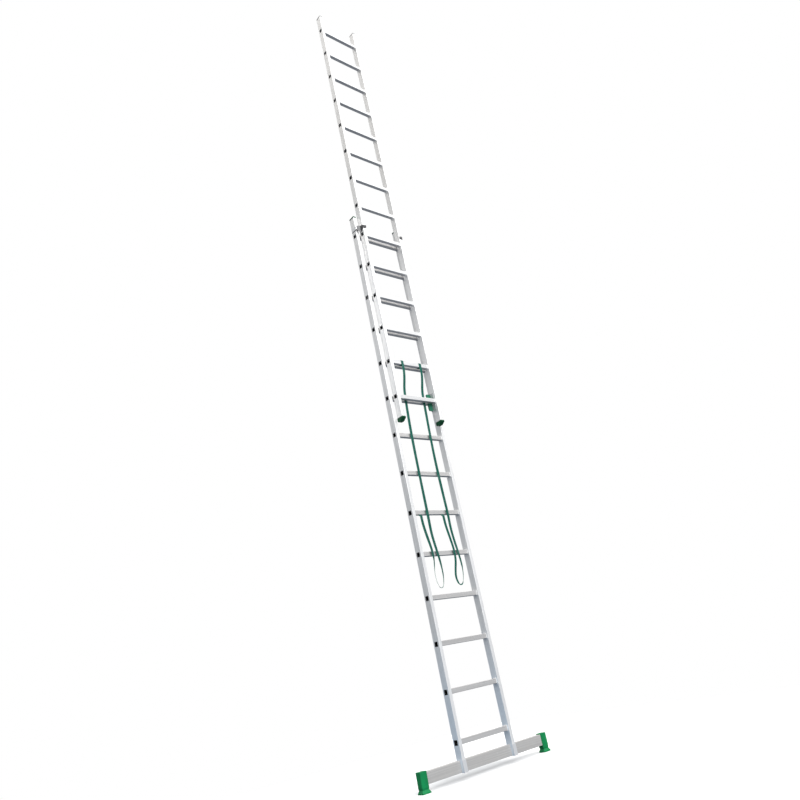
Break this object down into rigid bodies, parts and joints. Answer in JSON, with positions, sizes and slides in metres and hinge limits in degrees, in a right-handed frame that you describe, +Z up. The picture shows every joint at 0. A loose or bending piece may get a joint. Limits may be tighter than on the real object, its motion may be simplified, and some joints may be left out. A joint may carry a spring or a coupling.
{
  "type": "extension ladder",
  "caption": "Sliding extension ladder with box-section rungs, a raised fly section, swinging rung hooks, webbing straps and a wide stabiliser bar on rubber feet.",
  "frame": {"origin": "on the ground under the base section: midway between the base stiles, at the middle of their depth, level with the feet's soles", "axes": "+Z up along the stiles, +X along the rungs to the climber's right, -Y towards the climber and the fly section, +Y towards the wall"},
  "size_m": [1.104, 0.1245, 6.242],
  "materials": {
    "aluminium": "extruded, satin",
    "zinc_steel": "zinc plated",
    "plated_steel": "dark, satin",
    "green_rubber": "moulded, satin",
    "dark_green_plastic": "moulded, satin",
    "grey_plastic": "moulded, satin",
    "green_plastic": "moulded, satin",
    "webbing": "woven"
  },
  "bodies": {
    "base": {"bar_bolts": "zinc_steel", "bar_clip_left": "aluminium", "bar_clip_right": "aluminium", "base_rung_01": "aluminium", "base_rung_02": "aluminium", "base_rung_03": "aluminium", "base_rung_04": "aluminium", "base_rung_05": "aluminium", "base_rung_06": "aluminium", "base_rung_07": "aluminium", "base_rung_08": "aluminium", "base_rung_09": "aluminium", "base_rung_10": "aluminium", "base_rung_11": "aluminium", "base_rung_12": "aluminium", "base_rung_13": "aluminium", "base_rung_14": "aluminium", "base_stile_left": "aluminium", "base_stile_right": "aluminium", "base_top_cap_left": "dark_green_plastic", "base_top_cap_right": "dark_green_plastic", "guide_bracket_left": "plated_steel", "guide_bracket_right": "plated_steel", "guide_rivets": "zinc_steel", "stabiliser_bar": "aluminium", "stabiliser_foot_left": "green_rubber", "stabiliser_foot_right": "green_rubber", "strap_left": "webbing", "strap_right": "webbing", "strap_tab_left": "webbing", "strap_tab_right": "webbing"},
    "fly": {"fly_foot_left": "dark_green_plastic", "fly_foot_right": "dark_green_plastic", "fly_rung_01": "aluminium", "fly_rung_02": "aluminium", "fly_rung_03": "aluminium", "fly_rung_04": "aluminium", "fly_rung_05": "aluminium", "fly_rung_06": "aluminium", "fly_rung_07": "aluminium", "fly_rung_08": "aluminium", "fly_rung_09": "aluminium", "fly_rung_10": "aluminium", "fly_rung_11": "aluminium", "fly_rung_12": "aluminium", "fly_rung_13": "aluminium", "fly_rung_14": "aluminium", "fly_stile_left": "aluminium", "fly_stile_right": "aluminium", "fly_top_cap_left": "grey_plastic", "fly_top_cap_right": "grey_plastic", "hook_bracket_left": "plated_steel", "hook_bracket_right": "plated_steel", "hook_pins": "zinc_steel", "hook_rivets": "zinc_steel", "strap_eye_left": "webbing", "strap_eye_right": "webbing"},
    "hook_left": {"hook_left": "green_plastic"},
    "hook_right": {"hook_right": "green_plastic"}
  },
  "joints": [
    {"name": "fly_slide", "type": "slide", "parent": "base", "child": "fly", "axis": [0, 0, 1], "range_m": [-2.24, 0.56], "deforming": ["strap_left", "strap_right"]},
    {"name": "hook_left_swing", "type": "hinge", "parent": "fly", "child": "hook_left", "pos_m": [-0.163, -0.027, 2.44], "axis": [0, 0, 1], "range_deg": [0, 90]},
    {"name": "hook_right_swing", "type": "hinge", "parent": "fly", "child": "hook_right", "pos_m": [0.163, -0.027, 2.44], "axis": [0, 0, -1], "range_deg": [0, 90]}
  ]
}
